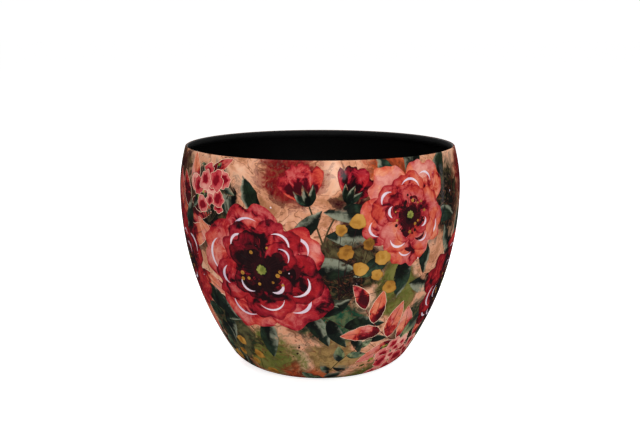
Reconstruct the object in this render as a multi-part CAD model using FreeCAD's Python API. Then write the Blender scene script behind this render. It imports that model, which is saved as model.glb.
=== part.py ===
"""Round steel cachepot with a printed wrap, standing on four stick-on pads.

The pot is one disc of sheet steel, drawn and spun to a bellied bowl. Its mouth is folded inwards to a
hem, and the middle of its base is pressed up, so that it stands on a flat ring. A printed film covers
the outside from the hem's fold to the base. All lengths are in millimetres, +Z is up, and the origin is
the point on the table under the pot's axis.
"""

import FreeCAD, Part

import math
import os

FULL_TURN = 360.0
HALF_TURN = 180.0
QUARTER_TURN = 90.0
AXIS_START = FreeCAD.Vector(0, 0, 0)
UP = FreeCAD.Vector(0, 0, 1)

# Outer shape of the steel, measured to its outer skin
belly_radius = 120.0
belly_height = 153.0
shoulder_rise = 37.3
mouth_inset = 5.4
base_radius = 54.0
heel_radius = 30.0

# Sheet and its folded mouth
sheet = 0.8
hem_depth = 6.0
hem_gap = 0.4

# Pressed-up middle of the base
ring_width = 17.0
panel_rise = 3.0
bend_radius = 3.0

# Printed film
film = 0.2

# Stick-on pads
pad_count = 4
pad_radius = 5.5
pad_thickness = 1.8
pad_bevel = 0.4

# Heights of the base's underside and of the belly above the table
base_z = pad_thickness
belly_z = base_z + belly_height

# The shoulder arc leaves the belly upright and passes through the start of the fold.
shoulder_radius = (shoulder_rise**2 + mouth_inset**2) / (2 * mouth_inset)
shoulder_x = belly_radius - shoulder_radius
fold_angle = math.degrees(math.asin(shoulder_rise / shoulder_radius))

# The flank arc leaves the belly upright and runs tangent into the heel arc, which ends flat on the base.
flank_in = belly_radius - base_radius
flank_drop = belly_height - heel_radius
flank_radius = (flank_in**2 + flank_drop**2 - heel_radius**2) / (2 * (flank_in - heel_radius))
flank_x = belly_radius - flank_radius
flank_angle = math.degrees(math.asin(flank_drop / (flank_radius - heel_radius)))
heel_z = base_z + heel_radius

# The step up to the base's middle is two bends with the same inside radius.
ring_inner_radius = base_radius - ring_width
lower_bend = bend_radius + sheet
upper_bend = bend_radius
step_angle = math.degrees(math.acos(1 - panel_rise / (lower_bend + upper_bend)))
lower_bend_z = base_z + lower_bend
panel_z = base_z + panel_rise
upper_bend_x = ring_inner_radius - (lower_bend + upper_bend) * math.sin(math.radians(step_angle))
upper_bend_z = panel_z - upper_bend

# Folded hem
hem_width = 2 * sheet + hem_gap
hem_angle = fold_angle - math.degrees(hem_depth / (shoulder_radius - hem_width))


def polar(x, z, radius, angle):
    """The point of the section at radius and angle, in degrees, about the centre (x, z)."""
    turn = math.radians(angle)
    return FreeCAD.Vector(x + radius * math.cos(turn), 0, z + radius * math.sin(turn))


def arc(x, z, radius, start, end):
    """An arc of the section about (x, z), from one angle to another."""
    middle = (start + end) / 2
    points = [polar(x, z, radius, angle) for angle in (start, middle, end)]
    return Part.Arc(*points).toShape()


def line(start, end):
    """A straight edge of the section."""
    return Part.LineSegment(start, end).toShape()


def side(inset):
    """Edges from the start of the fold down to the base, at an inset from the steel's outer skin."""
    return [
        arc(shoulder_x, belly_z, shoulder_radius - inset, fold_angle, 0),
        arc(flank_x, belly_z, flank_radius - inset, 0, -flank_angle),
        arc(base_radius, heel_z, heel_radius - inset, -flank_angle, -QUARTER_TURN),
    ]


def base(inset):
    """Edges from the heel inwards to the axis, at an inset from the steel's underside."""
    ring_z = base_z + inset
    ring_start = FreeCAD.Vector(base_radius, 0, ring_z)
    ring_end = FreeCAD.Vector(ring_inner_radius, 0, ring_z)
    panel_start = FreeCAD.Vector(upper_bend_x, 0, panel_z + inset)
    panel_middle = FreeCAD.Vector(0, 0, panel_z + inset)
    step_start = -QUARTER_TURN
    step_turn = step_start - step_angle
    return [
        line(ring_start, ring_end),
        arc(ring_inner_radius, lower_bend_z, lower_bend - inset, step_start, step_turn),
        arc(upper_bend_x, upper_bend_z, upper_bend + inset, QUARTER_TURN - step_angle, QUARTER_TURN),
        line(panel_start, panel_middle),
    ]


def hem():
    """Edges of the folded mouth, from the steel's outer skin over the fold to its inner skin."""
    fold_radius = hem_width / 2
    fold = polar(shoulder_x, belly_z, shoulder_radius - fold_radius, fold_angle)
    flap_inner = shoulder_radius - hem_width
    flap_outer = flap_inner + sheet
    wall_inner = flap_outer + hem_gap
    flap_end = [polar(shoulder_x, belly_z, radius, hem_angle) for radius in (flap_inner, flap_outer)]
    slit_top = [polar(shoulder_x, belly_z, radius, fold_angle) for radius in (flap_outer, wall_inner)]
    return [
        arc(fold.x, fold.z, fold_radius, fold_angle, fold_angle + HALF_TURN),
        arc(shoulder_x, belly_z, flap_inner, fold_angle, hem_angle),
        line(*flap_end),
        arc(shoulder_x, belly_z, flap_outer, hem_angle, fold_angle),
        line(*slit_top),
    ]


def revolved(edges):
    """The solid that a closed section makes when it is turned about the pot's axis."""
    section = Part.Face(Part.Wire(Part.__sortEdges__(edges)))
    return section.revolve(AXIS_START, UP, FULL_TURN)


def make_pot_shell():
    """The drawn and spun steel bowl, with its hem and its pressed-up base."""
    under_middle = FreeCAD.Vector(0, 0, panel_z)
    upper_middle = FreeCAD.Vector(0, 0, panel_z + sheet)
    edges = side(0) + base(0) + [line(under_middle, upper_middle)]
    edges += base(sheet) + side(sheet) + hem()
    return revolved(edges)


def make_printed_film():
    """The printed film on the outside, from the start of the fold to where the base turns flat."""
    top_edge = [polar(shoulder_x, belly_z, shoulder_radius + out, fold_angle) for out in (0, film)]
    low_edge = [FreeCAD.Vector(base_radius, 0, base_z - out) for out in (0, film)]
    return revolved(side(0) + side(-film) + [line(*top_edge), line(*low_edge)])


def make_pad(angle):
    """One felt pad under the middle of the standing ring, with its lower edge bevelled."""
    reach = base_radius - ring_width / 2
    centre = polar(0, 0, reach, 0)
    pad = Part.makeCylinder(pad_radius, pad_thickness, centre)
    lower_rims = [edge for edge in pad.Edges if edge.Closed and edge.BoundBox.ZMax < pad_thickness / 2]
    pad = pad.makeChamfer(pad_bevel, lower_rims)
    pad.rotate(AXIS_START, UP, angle)
    return pad


def main():
    os.makedirs("parts", exist_ok=True)
    nodes = {
        "pot_shell": make_pot_shell(),
        "printed_film": make_printed_film(),
    }
    for number in range(pad_count):
        angle = FULL_TURN / pad_count * (number + 1 / 2)
        nodes[f"foot_pad_{number + 1}"] = make_pad(angle)
    for name, shape in nodes.items():
        shape.exportStep(f"parts/{name}.step")
        print(name, shape.isValid(), len(shape.Solids), round(shape.Volume))


main()
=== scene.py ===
import math
import random

import bmesh
import bpy
import numpy as np
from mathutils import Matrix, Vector, geometry


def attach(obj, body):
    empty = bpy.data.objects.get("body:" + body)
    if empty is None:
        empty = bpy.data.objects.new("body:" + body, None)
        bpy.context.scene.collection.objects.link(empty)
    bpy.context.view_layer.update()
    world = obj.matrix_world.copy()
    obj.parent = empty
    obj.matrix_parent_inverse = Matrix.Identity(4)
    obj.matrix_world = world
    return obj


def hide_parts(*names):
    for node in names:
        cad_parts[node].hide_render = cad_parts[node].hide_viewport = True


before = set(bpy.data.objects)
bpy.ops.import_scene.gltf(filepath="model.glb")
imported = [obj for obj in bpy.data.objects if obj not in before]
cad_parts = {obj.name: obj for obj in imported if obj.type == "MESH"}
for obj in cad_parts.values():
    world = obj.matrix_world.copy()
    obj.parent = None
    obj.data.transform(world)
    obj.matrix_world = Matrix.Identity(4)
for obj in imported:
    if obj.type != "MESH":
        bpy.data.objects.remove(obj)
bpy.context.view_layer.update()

# Camera: the pot is seen from a little above its rim, from the side that is -Y here.
camera_distance = 0.8372
camera_rise = math.radians(13.08)
aim_height = 0.0973
lens_length = 53.44
frame_rise = 0.0598

camera = bpy.data.objects.new("camera", bpy.data.cameras.new("camera"))
bpy.context.scene.collection.objects.link(camera)
camera.data.lens = lens_length
camera.data.shift_y = frame_rise
camera.location = (
    0,
    -camera_distance * math.cos(camera_rise),
    aim_height + camera_distance * math.sin(camera_rise),
)
camera.rotation_euler = (math.pi / 2 - camera_rise, 0, 0)
bpy.context.scene.camera = camera
bpy.context.scene.view_settings.view_transform = "Standard"

# Studio: a wide table top, painted white, under soft lamps in a pale room. Its paint is the first finish,
# so the small kit that turns Python expressions into nodes stands here.


class Link:
    """One output in a node tree. Arithmetic on it adds Math nodes to its tree."""

    def __init__(self, tree, socket):
        self.tree = tree
        self.socket = socket

    def maths(self, operation, *values, clamp=False):
        """A Math node on these values."""
        return self.tree.node("ShaderNodeMath", dict(operation=operation, use_clamp=clamp), *values)[0]

    def __add__(self, other):
        return self.maths("ADD", self, other)

    def __sub__(self, other):
        return self.maths("SUBTRACT", self, other)

    def __rsub__(self, other):
        return self.maths("SUBTRACT", other, self)

    def __mul__(self, other):
        return self.maths("MULTIPLY", self, other)

    def __truediv__(self, other):
        return self.maths("DIVIDE", self, other)

    def __rtruediv__(self, other):
        return self.maths("DIVIDE", other, self)

    def __abs__(self):
        return self.maths("ABSOLUTE", self)

    __radd__ = __add__
    __rmul__ = __mul__

    def clipped(self):
        """The value, kept between 0 and 1."""
        return self.maths("ADD", self, 0, clamp=True)

    def floored(self):
        """The whole number at or below the value."""
        return self.maths("FLOOR", self)

    def zigzag(self, top):
        """Up from 0 to the top and down again, over and over."""
        return self.maths("PINGPONG", self, top)

    def highest(self, other):
        """The larger of two values."""
        return self.maths("MAXIMUM", self, other)

    def rise(self, low, high):
        """0 below low, 1 above high, and a smooth step between; low may lie above high."""
        inputs = {"Value": self, "From Min": low, "From Max": high}
        return self.tree.node("ShaderNodeMapRange", dict(interpolation_type="SMOOTHSTEP"), **inputs)[0]

    def band(self, middle, reach):
        """1 at the middle value, falling smoothly to 0 at the reach on each side."""
        return abs(self - middle).rise(reach, 0)


class Tree:
    """A node tree and the one way in which nodes are added to it."""

    def __init__(self, graph):
        self.graph = graph

    def feed(self, socket, value):
        """Gives an input a number, a colour or another node's output."""
        if isinstance(value, Link):
            self.graph.links.new(value.socket, socket)
        else:
            socket.default_value = value

    def node(self, kind, settings, *values, **named):
        """Adds a node: its settings first, then its inputs, by place or name. Returns its shown outputs."""
        made = self.graph.nodes.new(kind)
        for key, value in settings.items():
            if key == "stops":
                self.set_stops(made.color_ramp.elements, value)
            else:
                setattr(made, key, value)
        shown = [socket for socket in made.inputs if socket.enabled]
        for socket, value in zip(shown, values):
            self.feed(socket, value)
        for name, value in named.items():
            self.feed(next(socket for socket in shown if socket.name == name), value)
        return [Link(self, socket) for socket in made.outputs if socket.enabled]

    def set_stops(self, marks, stops):
        """Sets a ramp's marks to these places from 0 to 1 and their colours."""
        while len(marks) < len(stops):
            marks.new(0.5)
        for mark, (at, colour) in zip(marks, stops):
            mark.position = at
            mark.color = (*colour, 1)

    def grey(self, value):
        """A neutral colour of this brightness."""
        return self.node("ShaderNodeCombineColor", {}, value, value, value)[0]

    def looked_at(self):
        """1 for what the camera sees, also in gloss and through glass, and 0 for what lights other things."""
        rays = self.node("ShaderNodeLightPath", {})
        camera_ray, glossy_ray, transmission_ray = rays[0], rays[3], rays[6]
        return camera_ray.highest(glossy_ray).highest(transmission_ray)


class Finish(Tree):
    """A material: one glossy or dull surface, fed by nodes of its own."""

    def __init__(self, name):
        self.material = bpy.data.materials.new(name)
        self.material.use_nodes = True
        super().__init__(self.material.node_tree)
        self.surface = self.graph.nodes["Principled BSDF"]
        self.place = self.node("ShaderNodeTexCoord", {})[3]

    def fleck(self, scale, detail=2.0, roughness=0.5, distortion=0.0, place=None):
        """Noise of about this many patches to the metre."""
        inputs = dict(Scale=scale, Detail=detail, Roughness=roughness, Distortion=distortion)
        return self.node("ShaderNodeTexNoise", {}, Vector=place or self.place, **inputs)[0]

    def shifted(self, step):
        """Places moved aside, for noise that doesn't fall together with the rest."""
        return self.node("ShaderNodeVectorMath", dict(operation="ADD"), self.place, (step, step, step))[0]

    def mix(self, share, first, second):
        """The second colour over the first, by a share from 0 to 1."""
        return self.node("ShaderNodeMix", dict(data_type="RGBA"), share, first, second)[0]

    def ramp(self, value, stops):
        """Colours along a value."""
        return self.node("ShaderNodeValToRGB", dict(stops=stops), value)[0]

    def bump(self, height, distance):
        """Relief of this height in metres."""
        return self.node("ShaderNodeBump", {}, Distance=distance, Height=height)[0]

    def wear(self, **values):
        """Feeds the surface's inputs, each by its name with _ for a space."""
        for name, value in values.items():
            self.feed(self.surface.inputs[name.replace("_", " ")], value)


table_reach = 30.0
table_white = 0.90
table_glow = 0.785
room_fill = 0.24
room_glow = 0.77

table_mesh = bpy.data.meshes.new("table_top")
table_signs = ((-1, -1), (1, -1), (1, 1), (-1, 1))
table_mesh.from_pydata([(x * table_reach, y * table_reach, 0) for x, y in table_signs], [], [(0, 1, 2, 3)])
table = bpy.data.objects.new("table_top", table_mesh)
bpy.context.scene.collection.objects.link(table)
table_paint = Finish("table_white")
table_paint.wear(
    Base_Color=table_paint.grey(table_paint.fleck(6.0) * 0.01 + table_white),
    Roughness=0.9,
    Specular_IOR_Level=0.0,
    Emission_Color=table_paint.grey(table_paint.looked_at() * table_glow),
    Emission_Strength=1.0,
)
table_mesh.materials.append(table_paint.material)

room = bpy.data.worlds.new("room")
bpy.context.scene.world = room
room.use_nodes = True
room_tree = Tree(room.node_tree)
room_light = room_tree.grey(room_tree.looked_at() * room_glow + room_fill)
room_tree.feed(room.node_tree.nodes["Background"].inputs["Color"], room_light)


def lamp(name, place, aim, width, height, watts):
    """A softbox at a place, turned to what it lights."""
    light = bpy.data.lights.new(name, "AREA")
    light.shape = "RECTANGLE"
    light.size = width
    light.size_y = height
    light.energy = watts
    holder = bpy.data.objects.new(name, light)
    holder.location = place
    holder.visible_camera = False
    holder.rotation_euler = (Vector(aim) - Vector(place)).to_track_quat("-Z", "Y").to_euler()
    bpy.context.scene.collection.objects.link(holder)


pot_middle = (0, 0, 0.1)
lamp("top_softbox", (-0.1, -0.35, 1.3), pot_middle, 1.2, 0.9, 12.5)
lamp("front_softbox", (0.28, -1.35, 0.62), pot_middle, 0.42, 0.30, 8.8)
lamp("rear_softbox", (-0.4, 1.3, 0.7), pot_middle, 0.5, 0.4, 5.0)
lamp("side_strip", (0.71, 0.22, 0.12), pot_middle, 0.06, 0.24, 0.4)


# Steel bowl: one disc of thin sheet steel, drawn and spun, with its mouth folded in to a hem and the middle
# of its base pressed up. It is enamelled black inside, over the fold and under the base.
belly_radius = 0.120
belly_height = 0.1548
shoulder_rise = 0.0373
mouth_inset = 0.0054
base_radius = 0.054
base_height = 0.0018
heel_radius = 0.030
sheet = 0.0008
hem_depth = 0.006
hem_gap = 0.0004
ring_width = 0.017
panel_rise = 0.003
bend_radius = 0.003
steps_round = 288
shoulder_steps = 12
flank_steps = 40
heel_steps = 16
bend_steps = 6
fold_steps = 14
crease_angle = math.radians(40)
join_distance = 0.000002

shoulder_radius = (shoulder_rise**2 + mouth_inset**2) / (2 * mouth_inset)
shoulder_x = belly_radius - shoulder_radius
fold_angle = math.asin(shoulder_rise / shoulder_radius)
flank_in = belly_radius - base_radius
flank_drop = belly_height - base_height - heel_radius
flank_radius = (flank_in**2 + flank_drop**2 - heel_radius**2) / (2 * (flank_in - heel_radius))
flank_x = belly_radius - flank_radius
flank_angle = math.asin(flank_drop / (flank_radius - heel_radius))
heel_height = base_height + heel_radius


def arc(x, z, radius, start, end, steps):
    """Points of the section from one angle to another about a centre, without the last."""
    turns = [start + (end - start) * step / steps for step in range(steps)]
    return [(x + radius * math.cos(turn), 0, z + radius * math.sin(turn)) for turn in turns]


def side(inset):
    """The wall's section from the fold down to the base, at an inset from the steel's outer skin."""
    down = arc(shoulder_x, belly_height, shoulder_radius - inset, fold_angle, 0, shoulder_steps)
    down += arc(flank_x, belly_height, flank_radius - inset, 0, -flank_angle, flank_steps)
    return down + arc(base_radius, heel_height, heel_radius - inset, -flank_angle, -math.pi / 2, heel_steps)


def base(inset):
    """The base's section from the heel to the axis, over the step up to its middle."""
    lower = bend_radius + sheet - inset
    upper = bend_radius + inset
    step = math.acos(1 - panel_rise / (lower + upper))
    ring_end = base_radius - ring_width
    middle = base_height + panel_rise
    upper_x = ring_end - (lower + upper) * math.sin(step)
    inward = [(base_radius, 0, base_height + inset)]
    lower_z = base_height + bend_radius + sheet
    inward += arc(ring_end, lower_z, lower, -math.pi / 2, -math.pi / 2 - step, bend_steps)
    inward += arc(upper_x, middle - bend_radius, upper, math.pi / 2 - step, math.pi / 2, bend_steps)
    return inward + [(upper_x, 0, middle + inset), (0, 0, middle + inset)]


hem_width = 2 * sheet + hem_gap
flap_inner = shoulder_radius - hem_width
hem_angle = fold_angle - hem_depth / flap_inner
fold_x = shoulder_x + (shoulder_radius - hem_width / 2) * math.cos(fold_angle)
fold_z = belly_height + (shoulder_radius - hem_width / 2) * math.sin(fold_angle)
fold = arc(fold_x, fold_z, hem_width / 2, fold_angle + math.pi, fold_angle, fold_steps)
flap = arc(shoulder_x, belly_height, flap_inner, hem_angle, fold_angle, bend_steps)
slit = arc(shoulder_x, belly_height, flap_inner + sheet, fold_angle, hem_angle, bend_steps)
slit += arc(shoulder_x, belly_height, flap_inner + sheet, hem_angle, hem_angle, 1)
inside = list(reversed(side(sheet) + base(sheet)))
bowl_section = inside + slit + flap + fold + side(0) + base(0)


def turned_tree():
    """Geometry nodes that turn a section, given as a line of points, about the upright axis."""
    group = bpy.data.node_groups.new("turned on its axis", "GeometryNodeTree")
    sockets = (
        ("Section", "INPUT", "NodeSocketGeometry"),
        ("Steps round", "INPUT", "NodeSocketInt"),
        ("Finish", "INPUT", "NodeSocketMaterial"),
        ("Turned", "OUTPUT", "NodeSocketGeometry"),
    )
    for name, direction, kind in sockets:
        group.interface.new_socket(name, in_out=direction, socket_type=kind)
    tree = Tree(group)
    section, steps, finish = tree.node("NodeGroupInput", {})[:3]
    count = tree.node("GeometryNodeAttributeDomainSize", {}, section)[0]
    grid = tree.node("GeometryNodeMeshGrid", {}, 1.0, 1.0, steps + 1, count)[0]
    index = tree.node("GeometryNodeInputIndex", {})[0]
    column = ((index + 0.5) / count).floored()
    row = index - column * count
    place = tree.node("GeometryNodeInputPosition", {})[0]
    taken = tree.node("GeometryNodeSampleIndex", dict(data_type="FLOAT_VECTOR"), section, place, row)[0]
    turn = column / steps * math.tau
    spun = tree.node("ShaderNodeVectorRotate", dict(rotation_type="Z_AXIS"), Vector=taken, Angle=turn)[0]
    moved = tree.node("GeometryNodeSetPosition", {}, Geometry=grid, Position=spun)[0]
    closed = tree.node("GeometryNodeMergeByDistance", {}, Geometry=moved, Distance=join_distance)[0]
    smooth = tree.node("GeometryNodeSetShadeSmooth", {}, Geometry=closed)[0]
    real = tree.node("GeometryNodeRealizeInstances", {}, Geometry=smooth)[0]
    dressed = tree.node("GeometryNodeSetMaterial", {}, Geometry=real, Material=finish)[0]
    tree.node("NodeGroupOutput", {}, dressed)
    return group


def turned(name, section, finish):
    """A plain mesh object of a section turned about the axis, with its faces outwards."""
    line = bpy.data.meshes.new(name)
    line.from_pydata(section, [(at, at + 1) for at in range(len(section) - 1)], [])
    made = bpy.data.objects.new(name, line)
    bpy.context.scene.collection.objects.link(made)
    turning = made.modifiers.new("turning", "NODES")
    turning.node_group = lathe
    inputs = {item.name: item.identifier for item in lathe.interface.items_tree if item.in_out == "INPUT"}
    turning[inputs["Steps round"]] = steps_round
    turning[inputs["Finish"]] = finish
    plain = bpy.data.meshes.new_from_object(made.evaluated_get(bpy.context.evaluated_depsgraph_get()))
    made.modifiers.remove(turning)
    made.data = plain
    shell = bmesh.new()
    shell.from_mesh(plain)
    bmesh.ops.recalc_face_normals(shell, faces=shell.faces)
    shell.to_mesh(plain)
    shell.free()
    plain.set_sharp_from_angle(angle=crease_angle)
    return made


lathe = turned_tree()

# The crest of the fold is rubbed duller than the rest, more and more between these heights.
rub_low = 0.1860
rub_high = 0.1915
deep_black = (0.0012, 0.0012, 0.0012, 1)
soft_black = (0.0032, 0.003, 0.003, 1)
enamel = Finish("black_enamel")
tooth = enamel.fleck(900.0, 3.0)
cloud = enamel.fleck(14.0, 3.0)
rubbed = enamel.node("ShaderNodeSeparateXYZ", {}, enamel.place)[2].rise(rub_low, rub_high)
enamel.wear(
    Base_Color=enamel.mix(cloud, deep_black, soft_black),
    Roughness=cloud * 0.12 + rubbed * 0.5 + 0.20,
    Specular_IOR_Level=0.3,
    Normal=enamel.bump(tooth, 0.00002),
)
bowl = turned("steel_bowl", bowl_section, enamel.material)
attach(bowl, "root")
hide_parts("pot_shell")

# Printed wrap: a thin glossy film, printed with loose watercolour flowers and glued round the outside from
# the edge of the base to the crest of the fold. Its flat artwork is in millimetres, across the belly from
# the front and up the wall from the base's edge.
film = 0.0002
mm = 0.001
grid_step = 4.0
lip_rows = 8
lip_angle = math.radians(95)

heel_run = (heel_radius + film) * (math.pi / 2 - flank_angle) / mm
flank_run = (flank_radius + film) * flank_angle / mm
shoulder_run = (shoulder_radius + film) * fold_angle / mm
lip_run = (hem_width / 2 + film) * (lip_angle - fold_angle) / mm
wall_run = heel_run + flank_run + shoulder_run + lip_run
belly_run = math.tau * belly_radius / mm


def wall(rise):
    """Radius, height and outward slope of the film's outer skin at distances up the wall, in millimetres."""
    rise = np.asarray(rise, float)
    heel_turn = -math.pi / 2 + rise * mm / (heel_radius + film)
    flank_turn = -flank_angle + (rise - heel_run) * mm / (flank_radius + film)
    shoulder_turn = (rise - heel_run - flank_run) * mm / (shoulder_radius + film)
    lip_turn = fold_angle + (rise - wall_run + lip_run) * mm / (hem_width / 2 + film)
    zone = np.digitize(rise, (heel_run, heel_run + flank_run, wall_run - lip_run))
    turn = np.choose(zone, (heel_turn, flank_turn, shoulder_turn, lip_turn))
    radius = np.choose(zone, (heel_radius, flank_radius, shoulder_radius, hem_width / 2)) + film
    x = np.choose(zone, (base_radius, flank_x, shoulder_x, fold_x))
    z = np.choose(zone, (heel_height, belly_height, belly_height, fold_z))
    return x + radius * np.cos(turn), z + radius * np.sin(turn), turn


def girth(rise):
    """How many times the belly's girth is the wall's at this rise."""
    return belly_radius / wall(np.clip(rise, 0, wall_run))[0]


def polar(reach, turn):
    """Places at these distances and directions from a shape's root."""
    return np.stack([reach * np.cos(turn), reach * np.sin(turn)], 1)


# The shapes that are painted, each in millimetres from its own root. A shape gives its outline, the ribs
# inside it that its mesh follows too, and its print at a place: two numbers that the paint flows by.


class Leaf:
    """A pointed leaf, widest below its middle, on a bowed rib.

    Its print runs 0 to 1 along the rib and -1 to 1 across.
    """

    def __init__(self, length, width, bow=0.0, fullness=0.8, seed=0):
        wild = random.Random(seed)
        self.length, self.width, self.bow, self.fullness = length, width, bow, fullness
        self.waves = [(wild.uniform(-1, 1) * 0.05, wild.uniform(0, 6.3), turns) for turns in (3, 5, 9)]

    def half(self, along):
        """Half the leaf's width at shares of its length."""
        swell = np.sin(np.pi * np.clip(along, 0, 1) ** self.fullness) ** 0.85
        wave = sum(size * np.sin(start + turns * along * 3) for size, start, turns in self.waves)
        return self.width / 2 * (swell * (1 + wave) + 0.004)

    def rib(self, along):
        """How far the bowed rib stands aside at shares of its length."""
        return self.bow * self.length * 4 * along * (1 - along)

    def outline(self):
        along = np.linspace(0, 1, max(9, int(self.length / 1.6)))
        up = np.stack([along * self.length, self.rib(along) + self.half(along)], 1)
        down = np.stack([along * self.length, self.rib(along) - self.half(along)], 1)[::-1]
        return np.concatenate([up, down])

    def ribs(self):
        along = np.linspace(0.03, 0.97, max(4, int(self.length / 4)))
        return np.stack([along * self.length, self.rib(along)], 1)

    def print_at(self, x, y):
        along = np.clip(x / self.length, 0, 1)
        return along, np.clip((y - self.rib(along)) / self.half(along), -1, 1)


class Petal:
    """A fan-shaped petal with a ruffled edge. Its print runs 0 to 1 outwards and -1 to 1 across the fan."""

    side_fall = 0.22

    def __init__(self, length, spread, ruffle=0.05, seed=0):
        wild = random.Random(seed)
        self.length, self.spread = length, spread
        self.waves = [
            (wild.uniform(0.4, 1) * ruffle / (1 + turns / 6), wild.uniform(0, 6.3), turns)
            for turns in (2, 5, 8, 13)
        ]
        self.notch = wild.uniform(-0.3, 0.3)

    def reach(self, turn):
        """How far the petal reaches in these directions, with a notch in its edge."""
        share = np.clip(turn / self.spread, -1, 1)
        wave = sum(size * np.sin(start + turns * share * 1.6) for size, start, turns in self.waves)
        dent = 0.07 * np.exp(-(((share - self.notch) / 0.12) ** 2))
        return self.length * (1 - self.side_fall * share**2 - 0.25 * share**8) * (1 + wave - dent)

    def outline(self):
        turn = np.linspace(-self.spread, self.spread, max(16, int(self.length * self.spread * 2 / 1.4)))
        return np.concatenate([[(0, 0)], polar(self.reach(turn), turn)])

    def ribs(self):
        turn = np.linspace(-self.spread, self.spread, 13)[1:-1]
        rim = polar(self.reach(turn), turn)
        return np.concatenate([rim * share for share in (0.93, 0.6, 0.3)])

    def print_at(self, x, y):
        turn = np.arctan2(y, x)
        return np.clip(np.hypot(x, y) / self.reach(turn), 0, 1), np.clip(turn / self.spread, -1, 1)


class Disc:
    """A round or lobed spot. Its print runs 0 to 1 outwards and -1 to 1 round it."""

    def __init__(self, radius, lobes=0, dent=0.0, rough=0.04, seed=0):
        wild = random.Random(seed)
        self.radius, self.lobes, self.dent = radius, lobes, dent
        self.waves = [(wild.uniform(0.3, 1) * rough, wild.uniform(0, 6.3), turns) for turns in (2, 3, 5, 8)]

    def reach(self, turn):
        """How far the spot reaches in these directions."""
        wave = sum(size * np.sin(start + turns * turn) for size, start, turns in self.waves)
        return self.radius * (1 + wave - self.dent * (1 - np.abs(np.cos(self.lobes * turn / 2)) ** 0.6))

    def outline(self):
        turn = np.linspace(-np.pi, np.pi, max(14, int(self.radius * 5), self.lobes * 8), endpoint=False)
        return polar(self.reach(turn), turn)

    def ribs(self):
        return np.zeros((1, 2))

    def print_at(self, x, y):
        turn = np.arctan2(y, x)
        return np.clip(np.hypot(x, y) / self.reach(turn), 0, 1), turn / np.pi


class Line:
    """A brush line along a list of points, thinner at its tip and, where that is given, at its start."""

    def __init__(self, points, width, tip=0.3, start=1.0):
        self.points = np.array(points, float)
        share = np.linspace(0, 1, len(self.points))
        self.half = width / 2 * (start + (1 - start) * np.sin(np.pi / 2 * np.clip(share * 2, 0, 1)))
        fade = np.sin(np.pi / 2 * np.clip((1 - share) * 2, 0, 1)) if start < 1 else 1 - share
        self.half *= tip + (1 - tip) * fade

    def outline(self):
        along = np.gradient(self.points, axis=0)
        normal = np.stack([-along[:, 1], along[:, 0]], 1) / np.linalg.norm(along, axis=1)[:, None]
        edge = normal * self.half[:, None]
        return np.concatenate([self.points + edge, (self.points - edge)[::-1]])

    def ribs(self):
        return np.zeros((0, 2))

    def print_at(self, x, y):
        return np.full(len(x), 0.5), np.zeros(len(x))


class Motif:
    """One painted shape, laid on the flat artwork about an anchor, so that it keeps its shape on the wall."""

    def __init__(self, shape, anchor, at, turn, kind, tone):
        self.shape, self.anchor, self.at = shape, anchor, at
        self.cos, self.sin = math.cos(turn), math.sin(turn)
        self.kind, self.tone = kind, tone
        self.outline = self.to_sheet(shape.outline())
        self.low, self.high = self.outline.min(0), self.outline.max(0)
        self.shifts = [
            shift
            for shift in (-belly_run, 0, belly_run)
            if self.low[0] + shift < belly_run / 2 and self.high[0] + shift > -belly_run / 2
        ]

    def to_sheet(self, points):
        """Where points of the shape lie on the sheet, widened as much as the wall is narrower there."""
        x = self.at[0] + points[:, 0] * self.cos - points[:, 1] * self.sin
        y = self.at[1] + points[:, 0] * self.sin + points[:, 1] * self.cos
        rise = self.anchor[1] + y
        return np.stack([self.anchor[0] + x * girth(rise), rise], 1)

    def print_at(self, across, rise):
        """The shape's own print at places on the sheet."""
        x = (across - self.anchor[0]) / girth(rise) - self.at[0]
        y = rise - self.anchor[1] - self.at[1]
        return self.shape.print_at(x * self.cos + y * self.sin, y * self.cos - x * self.sin)

    def covers(self, spots):
        """Which of the spots on the sheet lie within the outline."""
        near = np.flatnonzero(((spots > self.low) & (spots < self.high)).all(1))
        x, y = spots[near].T[:, :, None]
        ends = np.roll(self.outline, -1, 0)
        (x1, y1), (x2, y2) = self.outline.T, ends.T
        crossed = ((y1 > y) != (y2 > y)) & (x < (x2 - x1) * (y - y1) / np.where(y2 == y1, 1, y2 - y1) + x1)
        return near[crossed.sum(1) % 2 == 1]


artwork = []


def paint(shape, anchor, at, turn, kind, tone=0.5):
    """Paints a shape over all that is there already."""
    artwork.append(Motif(shape, anchor, at, turn, kind, tone))


def bow(start, end, lift, count):
    """Points along a bowed line between two places."""
    start, end = np.array(start, float), np.array(end, float)
    side_step = np.array([start[1] - end[1], end[0] - start[0]]) * lift
    share = np.linspace(0, 1, count)[:, None]
    return start + (end - start) * share + side_step * 4 * share * (1 - share)


def toward(spot, heading, distance):
    """The place this far from a spot."""
    return (spot[0] + distance * math.cos(heading), spot[1] + distance * math.sin(heading))


bare_edge = 0.4


def leaf(anchor, spot, heading, length, width, kind, wild):
    """A leaf. A coral one lies on a slightly larger bare one, which leaves a thin pale edge round it."""
    bend, form = wild.uniform(-0.07, 0.07), wild.random()
    if kind == "coral_leaf":
        larger = Leaf(length + 2 * bare_edge, width + 2 * bare_edge, bend, seed=form)
        paint(larger, anchor, toward(spot, heading, -bare_edge), heading, "bare_edge", wild.random())
    paint(Leaf(length, width, bend, seed=form), anchor, spot, heading, kind, wild.random())


def collar(anchor, radius, kinds, count, length, seed):
    """Leaves that stand out all round behind a flower."""
    wild = random.Random(seed)
    for number in range(count):
        heading = math.tau * (number + wild.uniform(-0.35, 0.35)) / count
        spot = toward((0, 0), heading, radius * wild.uniform(0.6, 0.8))
        long = length * wild.uniform(0.8, 1.2)
        heading += wild.uniform(-0.5, 0.5)
        wide = long * wild.uniform(0.36, 0.48)
        leaf(anchor, spot, heading, long, wide, wild.choice(kinds), wild)


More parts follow.
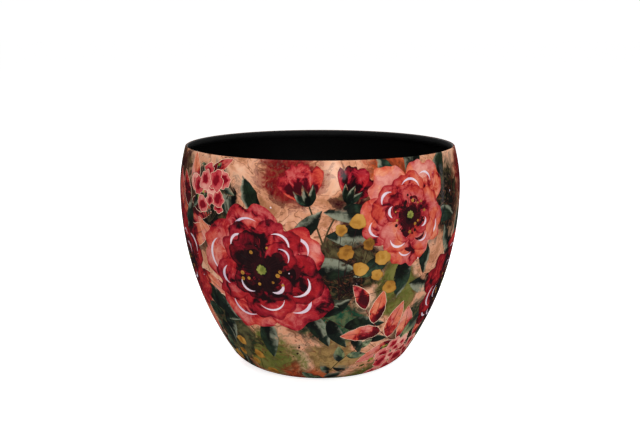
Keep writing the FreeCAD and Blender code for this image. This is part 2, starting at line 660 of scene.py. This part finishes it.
def stroke(anchor, petal, heading, width, kind, near, far, wild):
    """A curved stroke inside a petal's edge, thin at both ends, at a share of the petal's length."""
    middle, spread = wild.uniform(-0.35, 0.35), wild.uniform(0.28, 0.5)
    share = np.linspace(middle - spread, middle + spread, 17)
    sag = 1 - petal.side_fall * share**2 - 0.08 * ((share - middle) / spread) ** 2
    reach = petal.length * wild.uniform(near, far) * sag
    line = Line(polar(reach, share * petal.spread), width, 0.1, 0.1)
    paint(line, anchor, (0, 0), heading, kind, wild.random())


# Each ring of a flower's petals: their number, reach, turn and how dark they are
petal_rings = ((5, 1.0, 0.0, 0.15), (5, 0.80, 0.63, 0.45), (4, 0.56, 0.3, 0.8))
stamens = 34


def poppy(anchor, radius, kind, seed, turn=0.0):
    """An open flower: three rings of ruffled petals round a dark heart with stamens."""
    wild = random.Random(seed)
    for count, reach, lean, dark in petal_rings:
        order = list(range(count))
        wild.shuffle(order)
        for number in order:
            heading = turn + lean + math.tau * (number + wild.uniform(-0.12, 0.12)) / count
            length = radius * reach * wild.uniform(0.9, 1.06)
            petal = Petal(length, wild.uniform(0.62, 0.8), 0.045, wild.random())
            paint(petal, anchor, (0, 0), heading, kind, dark + wild.uniform(-0.3, 0.3))
            if wild.random() < 0.7:
                width = radius * wild.uniform(0.05, 0.10)
                stroke(anchor, petal, heading, width, "shade", 0.52, 0.70, wild)
            if wild.random() < 0.8:
                width = radius * wild.uniform(0.025, 0.05)
                stroke(anchor, petal, heading, width, "gouache", 0.76, 0.86, wild)
    paint(Disc(radius * 0.15, rough=0.14, seed=seed), anchor, (0, 0), 0, "heart")
    for number in range(stamens):
        heading = math.tau * (number + wild.uniform(-0.3, 0.3)) / stamens
        root = toward((0, 0), heading, radius * 0.12)
        tip = toward((0, 0), heading + 0.1, radius * wild.uniform(0.20, 0.36))
        paint(Line(bow(root, tip, 0.05, 4), radius * 0.014, 0.6), anchor, (0, 0), 0, "ink")
        grain = Disc(radius * wild.uniform(0.016, 0.032), seed=number)
        paint(grain, anchor, tip, 0, wild.choice(("ink", "ink", "ochre")))
    paint(Disc(radius * 0.075, lobes=9, dent=0.2, seed=seed), anchor, (0, 0), turn, "seedpod")


def bud(anchor, heading, size, kind, seed):
    """A flower half open, seen from its side: three overlapping petals in a green cup."""
    wild = random.Random(seed)
    foot = toward((0, 0), heading, -size * 1.3)
    paint(Line(bow(foot, (0, 0), wild.uniform(-0.1, 0.1), 10), 1.6, 0.8), anchor, (0, 0), 0, "stem")
    for lean, reach in ((-0.42, 0.92), (0.42, 0.95), (0.0, 1.0)):
        petal = Petal(size * reach, 0.42, 0.05, wild.random())
        paint(petal, anchor, (0, 0), heading + lean, kind, wild.random())
    for lean in (-0.5, 0.5, 0.0):
        cup = Leaf(size * 0.5, size * 0.17, lean * 0.1, seed=wild.random())
        paint(cup, anchor, (0, 0), heading + lean, "dark_leaf", wild.random())


stem_points = 24


def sprig(anchor, start, end, lift, kind, blade, count, seed):
    """A bowed stem with leaves in pairs, smaller towards its tip, and one leaf at its end."""
    wild = random.Random(seed)
    line = bow(start, end, lift, stem_points)
    stem = "wine_stem" if kind == "coral_leaf" else "stem"
    paint(Line(line, 1.3, 0.4), anchor, (0, 0), 0, stem)
    length, breadth = blade
    for number in range(count):
        share = 0.10 + 0.85 * number / count
        at = int(share * (stem_points - 1))
        ahead = line[min(at + 1, stem_points - 1)] - line[at]
        droop = (1 if number % 2 else -1) * 0.9 * wild.uniform(0.75, 1.2)
        size = (1 - 0.45 * share) * wild.uniform(0.85, 1.15)
        heading = math.atan2(ahead[1], ahead[0]) + droop
        leaf(anchor, line[at], heading, length * size, breadth * size, kind, wild)
    ahead = line[-1] - line[-2]
    leaf(anchor, line[-1], math.atan2(ahead[1], ahead[0]), length * 0.62, breadth * 0.55, kind, wild)


def posy(anchor, reach, count, size, kinds, seed):
    """A cluster of small round blossoms on thin stems, over leaves and dabs of green."""
    wild = random.Random(seed)
    order = list(range(count))
    wild.shuffle(order)
    spots = []
    for number in order:
        away = reach * math.sqrt((number + 0.5) / count)
        turn = number * 2.4 + wild.uniform(-0.25, 0.25)
        spots.append((away * math.cos(turn), away * 0.85 * math.sin(turn)))
    for spot in spots:
        stalk = Line(bow((0, -reach * 1.3), spot, wild.uniform(-0.1, 0.1), 10), 0.6, 0.7)
        paint(stalk, anchor, (0, 0), 0, "stem")
    for number in range(count // 3):
        turn = wild.uniform(0, math.tau)
        spot = (reach * 0.7 * math.cos(turn), reach * 0.6 * math.sin(turn))
        leaf(anchor, spot, turn + wild.uniform(-0.8, 0.8), size * 2.2, size * 0.9, "sage_leaf", wild)
    for number in range(count * 4):
        away, turn = reach * math.sqrt(wild.random()) * 1.15, wild.uniform(0, math.tau)
        spot = (away * math.cos(turn), away * 0.85 * math.sin(turn))
        kind = wild.choice(("dark_leaf", "dark_leaf", "sage_leaf", "moss_dab"))
        dab = Leaf(wild.uniform(2.5, 6), wild.uniform(1.6, 3), seed=number)
        paint(dab, anchor, spot, wild.uniform(0, 6.3), kind, wild.random())
    for spot in spots:
        radius, form, turn = size * wild.uniform(0.6, 1.1), wild.random(), wild.uniform(0, math.tau)
        larger = Disc(radius + bare_edge, lobes=5, dent=0.12, rough=0.07, seed=form)
        paint(larger, anchor, spot, turn, "bare_edge", wild.random())
        blossom = Disc(radius, lobes=5, dent=0.12, rough=0.07, seed=form)
        paint(blossom, anchor, spot, turn, wild.choice(kinds), wild.random())


def berries(anchor, start, ends, size, seed):
    """A spray of round ochre berries on thin dark stems."""
    wild = random.Random(seed)
    for end in ends:
        stalk = Line(bow(start, end, wild.uniform(-0.12, 0.12), 12), 0.7, 0.6)
        paint(stalk, anchor, (0, 0), 0, "ink")
    for end in ends:
        berry = Disc(size * wild.uniform(0.8, 1.2), rough=0.08, seed=wild.random())
        paint(berry, anchor, end, 0, "ochre", wild.random())


def specks(anchor, reach, count, size, kind, seed):
    """Drops of paint flicked off the brush."""
    wild = random.Random(seed)
    for number in range(count):
        spot = (wild.gauss(0, reach), wild.gauss(0, reach))
        drop = Disc(size * wild.uniform(0.35, 1.0) ** 2, rough=0.2, seed=wild.random())
        paint(drop, anchor, spot, 0, kind, wild.random())


# What lies behind the flowers: leafy sprays, all round
sprig((-48, 128), (24, -30), (84, -76), 0.10, "dark_leaf", (40, 16), 6, 11)
sprig((-48, 128), (-30, -30), (-70, -98), -0.12, "dark_leaf", (38, 15), 7, 12)
sprig((92, 74), (40, -30), (-46, 22), 0.12, "coral_leaf", (44, 19), 7, 22)
sprig((-150, 120), (10, 20), (52, 80), 0.1, "coral_leaf", (42, 18), 7, 24)
sprig((2, 4), (0, -8), (30, 52), 0.14, "sage_leaf", (24, 12), 7, 21)
sprig((-116, 34), (10, -30), (-14, 40), 0.1, "sage_leaf", (26, 12), 7, 25)
sprig((240, 120), (10, -20), (-56, -84), 0.12, "coral_leaf", (42, 18), 7, 71)
sprig((320, 116), (20, -30), (58, -92), 0.1, "dark_leaf", (40, 16), 7, 72)
sprig((320, 116), (-10, 40), (-44, 96), 0.1, "dark_leaf", (40, 16), 6, 73)
sprig((-236, 112), (-20, -30), (-66, -84), -0.1, "dark_leaf", (38, 15), 7, 74)
sprig((-310, 170), (0, -20), (-30, -96), 0.12, "coral_leaf", (44, 19), 7, 75)
sprig((268, 6), (0, -8), (34, 46), 0.14, "sage_leaf", (24, 12), 7, 76)
sprig((-250, 4), (0, -8), (-36, 48), -0.14, "sage_leaf", (24, 12), 7, 77)
bud((-8, 182), 1.9, 34, "coral_petal", 61)
bud((20, 184), 1.1, 30, "red_petal", 62)
bud((196, 178), 1.3, 32, "red_petal", 63)
bud((288, 186), 1.8, 30, "coral_petal", 64)
bud((-366, 182), 1.2, 34, "red_petal", 65)
bud((-214, 184), 1.9, 32, "coral_petal", 66)
bud((-252, 190), 1.2, 26, "crimson_petal", 67)
collar((-48, 130), 56, ("dark_leaf", "dark_leaf", "coral_leaf"), 9, 38, 15)
collar((74, 170), 42, ("dark_leaf", "coral_leaf", "dark_leaf"), 9, 36, 16)
collar((152, 100), 44, ("dark_leaf", "sage_leaf"), 9, 38, 17)
collar((-156, 124), 44, ("dark_leaf", "coral_leaf"), 9, 38, 18)
collar((240, 156), 42, ("dark_leaf", "coral_leaf", "dark_leaf"), 9, 36, 81)
collar((322, 116), 52, ("dark_leaf", "dark_leaf", "sage_leaf"), 10, 40, 82)
collar((-306, 168), 40, ("dark_leaf", "coral_leaf"), 9, 36, 83)
collar((-236, 108), 46, ("dark_leaf", "dark_leaf", "coral_leaf"), 9, 38, 84)

# Small blossoms between them
mixed = ("blossom", "red_blossom", "blossom")
posy((-98, 190), 21, 11, 7.5, ("blossom", "red_blossom"), 32)
posy((100, 34), 26, 17, 7.5, mixed, 31)
posy((212, 48), 28, 18, 7.5, mixed, 34)
posy((356, 188), 22, 12, 7.5, ("blossom", "red_blossom"), 35)
posy((-332, 52), 28, 18, 7.5, mixed, 36)
posy((-186, 36), 25, 15, 7.5, ("red_blossom", "blossom"), 37)

# The open flowers, and berries in front of them
poppy((152, 100), 48, "crimson_petal", 8, 0.1)
poppy((-156, 124), 46, "crimson_petal", 9, 0.5)
poppy((74, 172), 44, "coral_petal", 5, 0.9)
poppy((-48, 130), 58, "red_petal", 3, 0.4)
poppy((240, 156), 44, "coral_petal", 12, 0.2)
poppy((322, 116), 56, "red_petal", 14, 0.7)
poppy((-306, 168), 42, "crimson_petal", 15, 1.0)
poppy((-236, 108), 50, "coral_petal", 16, 0.3)
right_spray = [(0, 10), (12, -4), (18, 16), (26, -10), (-4, 28), (30, 4), (9, 34), (38, -22)]
berries((20, 136), (-4, -30), right_spray, 5.6, 41)
berries((-96, 30), (-4, -26), [(-16, 4), (-4, 12), (8, 4), (16, 14), (20, -6), (2, 26)], 4.6, 42)
berries((272, 70), (0, -30), [(-18, 4), (-6, 12), (8, 4), (18, 12), (24, -8), (2, 24)], 5.2, 43)
berries((-366, 110), (-4, -30), [(-20, 4), (-8, 14), (6, 6), (14, 18), (22, -4), (0, 30)], 5.4, 44)
berries((-190, 84), (4, -30), [(-12, -2), (0, 8), (12, 0), (4, 20), (18, -12)], 4.8, 45)
for number, across in enumerate(range(-360, 360, 60)):
    specks((across, 60), 24, 12, 1.1, "ink", 51 + number)
    specks((across + 20, 150), 36, 3, 0.8, "gouache", 71 + number)


def flat_sheet():
    """The artwork as one flat mesh, cut along each outline. Returns its places and triangles."""
    half = belly_run / 2
    plain_run = wall_run - lip_run
    columns, rows = round(belly_run / grid_step), round(plain_run / grid_step)
    rises = [plain_run * row / rows for row in range(rows)]
    rises += np.linspace(plain_run, wall_run, lip_rows).tolist()
    spots = [(-half + belly_run * column / columns, rise) for column in range(columns + 1) for rise in rises]
    corners = (0, columns * len(rises), (columns + 1) * len(rises) - 1, len(rises) - 1)
    edges = list(zip(corners, corners[1:] + corners[:1]))
    for motif in artwork:
        for shift in motif.shifts:
            first, count = len(spots), len(motif.outline)
            spots += (motif.outline + (shift, 0)).tolist()
            edges += [(first + at, first + (at + 1) % count) for at in range(count)]
            spots += (motif.to_sheet(motif.shape.ribs()) + (shift, 0)).tolist()
    joined_within = 0.004
    found = geometry.delaunay_2d_cdt([Vector(spot) for spot in spots], edges, [], 0, joined_within, True)
    places, triangles = np.array([tuple(spot) for spot in found[0]]), np.array(found[2])
    middle = places[triangles].mean(1)
    on_sheet = (abs(middle[:, 0]) < half) & (middle[:, 1] > 0) & (middle[:, 1] < wall_run)
    used, triangles = np.unique(triangles[on_sheet], return_inverse=True)
    return places[used], triangles.reshape(-1, 3)


# Each triangle belongs to the shape painted last over its middle, and carries that shape's own print.
places, triangles = flat_sheet()
middles = places[triangles].mean(1)
top_motif = np.full(len(triangles), -1)
brush_marks = np.zeros((len(triangles), 3, 3))
for number, motif in enumerate(artwork):
    for shift in motif.shifts:
        mine = motif.covers(middles - (shift, 0))
        at = places[triangles[mine]].reshape(-1, 2) - (shift, 0)
        along, across = motif.print_at(*at.T)
        marks = np.stack([along, across, np.full(len(at), motif.tone)], 1)
        brush_marks[mine] = marks.reshape(-1, 3, 3)
        top_motif[mine] = number
kinds = ["ground"] + sorted({motif.kind for motif in artwork})
slots = [kinds.index(artwork[number].kind) if number >= 0 else 0 for number in top_motif]


def tint(red, green, blue):
    """A colour given as it is seen, 0 to 255, as the renderer's own numbers."""
    seen = np.array((red, green, blue)) / 255
    return tuple(np.where(seen <= 0.04045, seen / 12.92, ((seen + 0.055) / 1.055) ** 2.4).tolist())


def stops(*colours):
    """Evenly spaced stops from thin paint to thick, each colour as it is seen."""
    return [(number / (len(colours) - 1), tint(*colour)) for number, colour in enumerate(colours)]


peaches = stops((238, 200, 172), (222, 172, 142), (198, 138, 106), (156, 102, 70), (98, 62, 40))

# The ground: peach washes with brown tide lines, and clouds of other colours that ran into them while wet,
# in two coats. Each cloud has a place on the sheet, a reach and a colour.
moss, pine, night, teal = (92, 96, 40), (26, 40, 24), (8, 9, 6), (16, 66, 46)
wine, blood, rust, sand = (50, 4, 12), (120, 14, 22), (172, 72, 38), (150, 120, 72)
under_coat = [
    (-100, 170, 34, night), (-24, 204, 24, blood), (60, 210, 24, rust), (112, 66, 28, pine),
    (-62, 46, 28, moss), (124, 176, 30, night), (-130, 22, 28, rust), (0, 96, 30, pine),
    (70, 14, 22, moss), (-160, 196, 30, wine), (174, 40, 26, moss), (200, 130, 34, night),
    (190, 200, 28, blood), (250, 90, 28, pine), (290, 20, 28, rust), (276, 196, 28, wine),
    (340, 56, 30, moss), (368, 150, 34, night), (-340, 200, 26, rust), (-350, 80, 30, pine),
    (-270, 140, 34, night), (-300, 40, 26, moss), (-240, 200, 26, blood), (-210, 60, 26, pine),
    (-200, 10, 26, rust),
]
over_coat = [
    (26, 132, 32, night), (30, 176, 20, wine), (22, 84, 20, teal), (66, 112, 26, moss),
    (-100, 64, 26, pine), (-22, 14, 24, rust), (134, 24, 26, pine), (166, 196, 26, blood),
    (10, 48, 20, sand), (-160, 70, 30, teal), (-196, 160, 28, wine), (214, 96, 24, teal),
    (240, 14, 24, pine), (300, 160, 26, wine), (320, 210, 22, rust), (366, 20, 24, pine),
    (380, 100, 24, teal), (-290, 90, 22, moss), (-250, 36, 22, teal), (-330, 130, 26, wine),
]


def soak(coat):
    """How far each place is from the coat's nearest cloud, in shares of its reach, and the colour there."""
    away = []
    for across, rise, reach, seen in coat:
        aside = (places[:, 0] - across + belly_run / 2) % belly_run - belly_run / 2
        away.append(np.hypot(aside / girth(places[:, 1]), places[:, 1] - rise) / reach)
    away = np.array(away)
    blend = 8
    share = np.exp(-blend * (away - away.min(0)))
    return away.min(0), (share / share.sum(0)).T @ np.array([tint(*seen) for *spot, seen in coat])


coats = {"under": soak(under_coat), "over": soak(over_coat)}


pale_ochre = (*tint(150, 132, 84), 1)
dried_rim = (*tint(88, 50, 32), 1)
tide_brown = (*tint(98, 54, 34), 1)


def wet_ground(finish):
    """The ground's colour at each place, also where a leaf's edge is washed out into it."""
    wash = finish.fleck(26.0, 3.0, 0.55, 1.0)
    stain = finish.fleck(90.0, 5.0, 0.62, 1.4)
    fringe = finish.fleck(340.0, 4.0, 0.65, 0.6)
    thin = (wash - 0.5) * 1.7 + (stain - 0.5) * 0.9 + (fringe - 0.5) * 0.25 + 0.46
    colour = finish.ramp(thin, peaches)
    tides = wash.band(0.48, 0.011) * stain.rise(0.40, 0.52)
    tides = tides + wash.band(0.56, 0.009) * fringe.rise(0.4, 0.52) * 0.8
    tides = tides + stain.band(0.44, 0.014) * wash.rise(0.42, 0.52) * 0.7
    softness = (1 - wash).rise(0.40, 0.62) * 0.5 + 0.05
    for coat, run in (("under", wash), ("over", 1 - wash)):
        # Mottled paint: darker where it pooled, paler where it thinned
        seen = finish.node("ShaderNodeAttribute", dict(attribute_name=coat + "_tint"))[0]
        deeper = finish.node("ShaderNodeVectorMath", dict(operation="SCALE"), seen, 0.35)[0]
        paler = finish.mix(0.28, seen, pale_ochre)
        mottled = (1 - run) * 0.8 + stain * 0.8 + fringe * 0.2
        seen = finish.mix(mottled.rise(0.90, 1.14), seen, paler)
        seen = finish.mix(mottled.rise(0.76, 1.0), deeper, seen)
        # A ragged edge with loose grains outside it and a dried rim
        away = finish.node("ShaderNodeAttribute", dict(attribute_name=coat + "_away"))[2]
        ragged = away + (run - 0.5) * 2.0 + (stain - 0.5) * 1.7 + (fringe - 0.5) * 0.4
        deep = (1.15 - ragged).rise(0.0, 0.7) * 0.35 + 0.72
        grains = ragged.rise(1.35, 0.85) * fringe.rise(0.60, 0.64) * 0.6
        wet = ((1 - ragged) / softness + 0.5).clipped() * (deep + (stain - 0.5) * 0.8 + (fringe - 0.5) * 0.7)
        colour = finish.mix((wet + ragged.band(0.96, 0.06) * 0.15 + grains).clipped(), colour, seen)
        colour = finish.mix(ragged.band(1.03, 0.035) * stain.rise(0.36, 0.5) * 0.6, colour, dried_rim)
    return finish.mix(tides.clipped() * 0.8, colour, tide_brown)


def glossy(finish, colour, grain):
    """The film's clear gloss over the fine tooth of whatever is printed under it.

    It shines little more aslant than from the front, so that the pale room doesn't veil the pot's sides.
    """
    finish.wear(Base_Color=colour, Roughness=grain * 0.2 + 0.35, Normal=finish.bump(grain, 0.00002))
    finish.wear(Specular_IOR_Level=0.0, Coat_Weight=0.012, Coat_Roughness=0.08, Coat_IOR=3.0)
    return finish.material


bleached_green = (*tint(178, 182, 156), 1)


def watercolour(
    name, paints, second=None, root=0.45, start=0.40, body=0.2, depth=0.26,
    pale=0.0, rim=0.25, rib=0.0, veins=0.0, lost=0.0, round_print=False,
):
    """Paint that ran while it was wet: dark from the shape's root, darker along its edge and tide lines."""
    finish = Finish(name)
    brush = finish.node("ShaderNodeAttribute", dict(attribute_name="brush"))[1]
    along, across, tone = finish.node("ShaderNodeSeparateXYZ", {}, brush)
    flow = finish.fleck(34.0, 2.0, 0.5, 1.0)
    seep = finish.fleck(120.0, 4.0, 0.6, 1.6)
    grain = finish.fleck(900.0, 3.0, 0.65)
    middle = abs(across)
    edge = along.rise(0.90, 1.0)
    if not round_print:
        edge = edge.highest(middle.rise(0.88, 1.0))
    reach = 1 - along + (flow - 0.5) * 1.6 + (seep - 0.5) * 0.8
    thick = (flow - 0.5) * 1.1 + (seep - 0.5) * 0.6 + (grain - 0.5) * 0.14 + tone * depth + body
    thick = thick + reach.rise(start, start + 0.38) * root + reach.band(start + 0.04, 0.03) * 0.07
    thick = thick + edge * (seep * 1.4) * rim + seep.band(0.5, 0.014) * 0.07
    if veins:
        comb = along * 8 - middle * 2.4 + (seep - 0.5) * 0.8
        thick = thick + comb.zigzag(0.5).rise(0.12, 0.0) * veins * (1 - edge)
    colour = finish.ramp(thick, paints)
    if second:
        other = finish.fleck(52.0, 3.0, 0.5, 0.8, place=finish.shifted(0.7)).rise(0.42, 0.58)
        colour = finish.mix(other, colour, finish.ramp(thick, second))
    if pale:
        bleached = (across * 0.5 + along * 0.5 + (flow - 0.5) * 2.2 + (seep - 0.5) * 0.8).rise(0.35, 0.9)
        colour = finish.mix(bleached * pale * (1 - edge * 0.5), colour, bleached_green)
    if rib:
        line = middle.rise(0.09, 0.03) * along.rise(0.98, 0.8)
        darkest = paints[-1][1]
        colour = finish.mix(line * rib, colour, (*darkest, 1))
    if lost:
        gone = (middle * 0.45 + along * 0.35 + (flow - 0.5) * 2.4 + (seep - 0.5) * 1.2).rise(0.62, 1.0)
        colour = finish.mix(gone * lost, colour, wet_ground(finish))
    return glossy(finish, colour, grain)


# Paints, from thin to thick
scarlets = stops((208, 122, 102), (190, 66, 56), (160, 28, 34), (124, 12, 24), (66, 6, 14), (22, 3, 6))
pinks = stops((208, 136, 124), (190, 96, 90), (164, 42, 50), (126, 14, 30), (64, 6, 16), (22, 3, 6))
crimsons = stops((196, 70, 66), (158, 26, 36), (112, 10, 22), (64, 6, 14), (28, 4, 8), (12, 2, 4))
corals = stops((214, 148, 134), (198, 116, 106), (184, 84, 80), (164, 44, 48), (122, 16, 30), (64, 6, 16))
oranges = stops((220, 152, 118), (204, 112, 82), (190, 76, 56), (162, 40, 36), (112, 14, 24), (56, 6, 14))
blooms = stops((220, 156, 142), (202, 112, 106), (184, 62, 68), (156, 22, 38), (120, 10, 26))
greens = stops((126, 132, 88), (72, 86, 50), (38, 52, 32), (22, 32, 19), (12, 18, 10), (5, 7, 4))
pines = stops((142, 152, 126), (82, 100, 78), (42, 60, 46), (22, 36, 28), (11, 18, 14), (4, 6, 5))
sages = stops((186, 180, 138), (142, 144, 100), (94, 106, 74), (54, 70, 52), (28, 40, 33), (12, 20, 17))
golds = stops((184, 138, 66), (164, 116, 46), (140, 92, 34), (104, 66, 20), (70, 42, 14))
hearts = stops((84, 14, 24), (38, 6, 12), (8, 2, 4))
pods = stops((172, 164, 84), (106, 112, 48), (38, 46, 22))
inks = stops((42, 14, 16), (12, 4, 6))
stem_browns = stops((76, 62, 40), (26, 26, 20))
wines = stops((112, 26, 34), (46, 8, 14))
creams = stops((236, 206, 180), (214, 164, 136))
lilacs = stops((222, 206, 212), (200, 178, 194), (166, 134, 156))
shades = stops((110, 14, 24), (54, 6, 14), (16, 2, 5))
mosses = stops((196, 184, 84), (140, 140, 50), (84, 94, 34), (40, 52, 20))

# What each kind of shape is painted with, and how its paint lies
recipes = {
    "red_petal": dict(
        paints=scarlets, second=pinks, root=0.62, start=0.22, body=0.27, depth=0.44, veins=0.05, rim=0.28
    ),
    "crimson_petal": dict(
        paints=crimsons, second=scarlets, root=0.55, start=0.22, body=0.34, depth=0.42, veins=0.05, rim=0.28
    ),
    "coral_petal": dict(
        paints=corals, second=oranges, root=0.60, start=0.26, body=0.18, depth=0.42, veins=0.05, rim=0.30
    ),
    "blossom": dict(paints=blooms, root=0.75, body=0.0, rim=0.15, round_print=True),
    "red_blossom": dict(paints=blooms, root=0.7, body=0.30, rim=0.15, round_print=True),
    "coral_leaf": dict(paints=corals, second=oranges, root=0.55, body=0.18, rib=0.6, veins=0.05, rim=0.26),
    "dark_leaf": dict(
        paints=greens, second=pines, root=0.3, body=0.60, pale=0.5, rib=0.5, rim=0.2, lost=0.9
    ),
    "sage_leaf": dict(
        paints=sages, second=pines, root=0.4, body=0.28, pale=0.3, rib=0.5, rim=0.3, lost=0.8
    ),
    "ochre": dict(paints=golds, root=0.2, body=0.12, depth=0.3, rim=0.3, round_print=True),
    "heart": dict(paints=hearts, root=0.4, body=0.4, round_print=True),
    "seedpod": dict(paints=pods, root=0.2, body=0.2, rim=0.5, round_print=True),
    "ink": dict(paints=inks, root=0.0, body=0.3, rim=0.0),
    "stem": dict(paints=stem_browns, root=0.0, body=0.3, rim=0.0),
    "wine_stem": dict(paints=wines, root=0.0, body=0.3, rim=0.0),
    "bare_edge": dict(paints=creams, root=0.0, body=0.2, rim=0.0),
    "gouache": dict(paints=lilacs, root=0.0, body=0.1, rim=0.2),
    "shade": dict(paints=shades, root=0.0, body=0.35, rim=0.0),
    "moss_dab": dict(paints=mosses, root=0.3, body=0.2, rim=0.3),
}
finishes = {name: watercolour(name, **recipe) for name, recipe in recipes.items()}
ground = Finish("ground")
finishes["ground"] = glossy(ground, wet_ground(ground), ground.fleck(900.0, 3.0, 0.65))

# The film's cut edges, where its white backing shows through the glue
film_edge = Finish("film_edge")
backing = stops((196, 160, 130), (150, 112, 84))
film_edge.wear(Base_Color=film_edge.ramp(film_edge.fleck(500.0, 3.0), backing), Roughness=0.6)
finishes["film_edge"] = film_edge.material

# The film follows the spun steel, which is a little uneven: turns round, climb up the wall, start and size
unevenness = ((11, 2.1, 0.4, 0.022), (17, -3.4, 2.0, 0.014), (29, 5.2, 4.1, 0.009), (5, 7.5, 1.2, 0.016))
radius, height, slope = wall(places[:, 1])
turn = places[:, 0] * mm / belly_radius
swell = sum(
    size * np.sin(turns * turn + climb * places[:, 1] / belly_run * math.tau + start)
    for turns, climb, start, size in unevenness
)
swell *= mm * np.sin(np.pi * places[:, 1] / wall_run)
radius, height = radius + swell * np.cos(slope), height + swell * np.sin(slope)
bent = np.stack([radius * np.sin(turn), -radius * np.cos(turn), height], 1)
wrap_mesh = bpy.data.meshes.new("printed_wrap")
wrap_mesh.from_pydata(bent.tolist(), [], triangles.tolist())
wrap_mesh.polygons.foreach_set("material_index", slots)
for coat, (away, seen) in coats.items():
    wrap_mesh.attributes.new(coat + "_away", "FLOAT", "POINT").data.foreach_set("value", away)
    wrap_mesh.attributes.new(coat + "_tint", "FLOAT_VECTOR", "POINT").data.foreach_set("vector", seen.ravel())
brush = wrap_mesh.attributes.new("brush", "FLOAT_VECTOR", "CORNER")
brush.data.foreach_set("vector", brush_marks.ravel())
wrap_mesh.shade_smooth()
for kind in kinds:
    wrap_mesh.materials.append(finishes[kind])
wrap_mesh.materials.append(finishes["film_edge"])

# The sheet's two ends are joined at the back, and its rims are turned in by the film's thickness.
seam_join = 0.00001
joined = bmesh.new()
joined.from_mesh(wrap_mesh)
bmesh.ops.remove_doubles(joined, verts=joined.verts, dist=seam_join)
rims = [edge for edge in joined.edges if edge.is_boundary]
cut = bmesh.ops.extrude_edge_only(joined, edges=rims)["geom"]
for spot in [part for part in cut if isinstance(part, bmesh.types.BMVert)]:
    turn = lip_angle if spot.co.z > belly_height else -math.pi / 2
    across = Vector((spot.co.x, spot.co.y, 0)).normalized() * math.cos(turn)
    spot.co -= (across + Vector((0, 0, math.sin(turn)))) * film
for part in [part for part in cut if isinstance(part, bmesh.types.BMFace)]:
    part.material_index = len(kinds)
    part.smooth = False
bmesh.ops.recalc_face_normals(joined, faces=joined.faces)
if max(joined.faces, key=lambda face: face.calc_center_median().x).normal.x < 0:
    bmesh.ops.reverse_faces(joined, faces=joined.faces)
joined.to_mesh(wrap_mesh)
joined.free()
wrap = bpy.data.objects.new("printed_wrap", wrap_mesh)
bpy.context.scene.collection.objects.link(wrap)
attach(wrap, "root")
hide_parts("printed_film")

# Felt pads: four discs of pressed wool felt, bevelled below and stuck under the standing ring, so that the
# steel doesn't scratch what it stands on.
dark_wool = (0.02, 0.018, 0.016, 1)
grey_wool = (0.12, 0.11, 0.10, 1)
felt = Finish("pressed_felt")
fuzz = felt.fleck(1800.0, 4.0, 0.7)
felt.wear(
    Base_Color=felt.mix(fuzz, dark_wool, grey_wool),
    Roughness=0.95,
    Normal=felt.bump(fuzz, 0.0002),
)
for name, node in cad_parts.items():
    if name.startswith("foot_pad"):
        node.material_slots[0].material = felt.material
